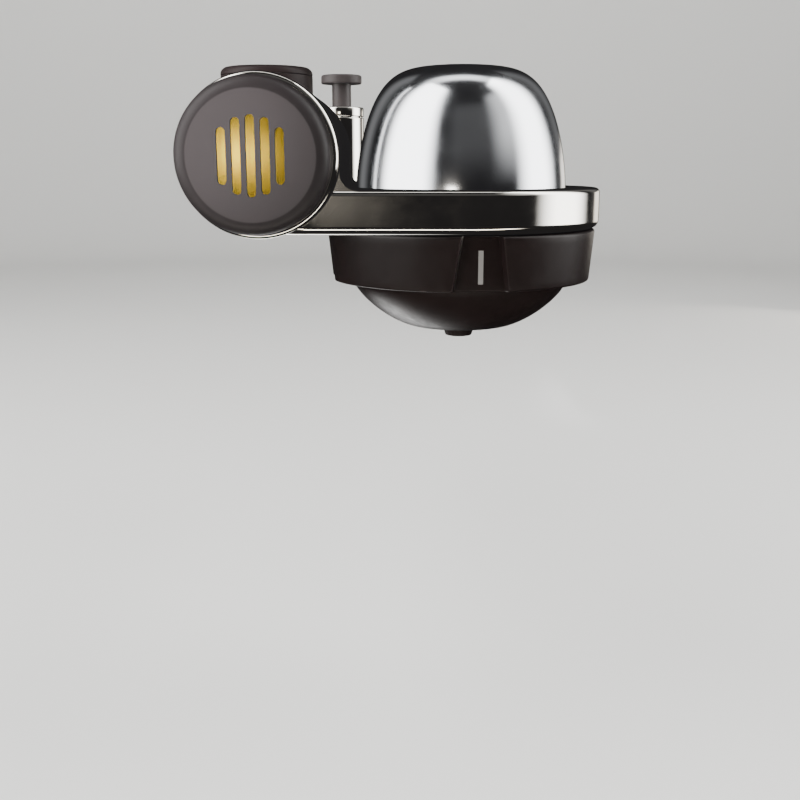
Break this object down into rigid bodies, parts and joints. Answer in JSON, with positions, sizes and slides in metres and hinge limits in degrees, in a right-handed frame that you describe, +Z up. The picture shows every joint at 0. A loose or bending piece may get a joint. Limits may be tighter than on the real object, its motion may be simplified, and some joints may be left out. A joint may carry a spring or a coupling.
{
  "type": "pod coffee machine",
  "caption": "Hand-pumped espresso maker: a barrel with pump handle, gauge and button beside a domed water chamber over a turning pod holder.",
  "frame": {"origin": "on the barrel's axis, at the middle of the neck behind the collar", "axes": "+Y along the barrel towards the pump handle, +X towards the domed head, +Z up"},
  "size_m": [0.0985, 0.22, 0.0673],
  "materials": {
    "chrome_body": "polished, slightly warm chrome plate",
    "cap_plastic": "satin dark grey plastic",
    "cover_plastic": "satin black-brown plastic",
    "gold_plate": "satin gold",
    "aluminium": "turned and anodised",
    "steel": "turned stainless steel",
    "dome_steel": "mirror-polished stainless steel",
    "brass": "turned brass",
    "black_rubber": "matt black rubber",
    "red_rubber": "matt red silicone rubber",
    "white_plastic": "matt white acetal",
    "dial_face": "printed white plate",
    "needle_red": "painted red",
    "clear_glass": "clear lens",
    "grip_rubber": "soft-touch dark elastomer",
    "mark_grey": "light grey printed mark"
  },
  "bodies": {
    "machine": {"body_casting": "chrome_body", "end_cap": "cap_plastic", "badge_plate": "gold_plate", "reservoir_plug": "aluminium", "plug_seal": "black_rubber", "plug_circlip": "steel", "cylinder_tube": "aluminium", "cylinder_seal": "black_rubber", "cylinder_gland": "brass", "gland_wiper": "black_rubber", "stroke_stop_ring": "steel", "check_valve_seat": "brass", "check_valve_cage": "brass", "gauge_housing": "cap_plastic", "gauge_bezel": "cap_plastic", "gauge_glass": "clear_glass", "gauge_dial": "dial_face", "gauge_movement": "brass", "gauge_stem": "brass", "gauge_washer": "red_rubber", "valve_cap_nut": "chrome_body", "valve_seat": "brass", "stem_seal": "black_rubber", "valve_spring": "steel", "dome_shell": "dome_steel", "dome_gasket": "black_rubber", "dome_clamp_ring": "steel", "dome_screws": "steel", "air_tube": "steel", "shower_screen": "steel", "group_gasket": "red_rubber", "bayonet_ring": "steel"},
    "pump_handle": {"handle_tube": "aluminium", "handle_grip": "grip_rubber", "handle_bush": "white_plastic", "handle_end_cap": "cap_plastic", "handle_screw": "steel", "piston_rod": "steel", "piston_head": "white_plastic", "piston_seal": "black_rubber", "piston_nut": "steel"},
    "button": {"button_head": "cap_plastic", "button_stem": "cap_plastic", "valve_poppet": "black_rubber"},
    "portafilter": {"portafilter_cover": "cover_plastic", "holder_ring": "steel", "index_mark": "mark_grey", "pod_basket": "steel", "lower_sieve": "cap_plastic", "outlet_seal": "red_rubber", "outlet_nozzle": "cover_plastic"},
    "needle": {"gauge_needle": "needle_red"},
    "check_valve": {"check_disc": "white_plastic"}
  },
  "joints": [
    {"name": "pump_stroke", "type": "slide", "parent": "machine", "child": "pump_handle", "axis": [0, 1, 0], "range_m": [0, 0.092]},
    {"name": "infusion_press", "type": "slide", "parent": "machine", "child": "button", "axis": [0, 0, -1], "range_m": [0, 0.0035], "stiffness_N_per_m": 800, "springref_m": -0.004, "deforming": ["valve_spring"]},
    {"name": "portafilter_turn", "type": "hinge", "parent": "machine", "child": "portafilter", "pos_m": [0.046, -0.041, 0], "axis": [0, 0, -1], "range_deg": [0, 60]},
    {"name": "gauge_turn", "type": "hinge", "parent": "machine", "child": "needle", "pos_m": [0, -0.061, 0], "axis": [0, 0, -1], "range_deg": [0, 240], "stiffness_Nm_per_rad": 0.00001},
    {"name": "check_lift", "type": "slide", "parent": "machine", "child": "check_valve", "axis": [0, -1, 0], "range_m": [0, 0.0008]}
  ]
}
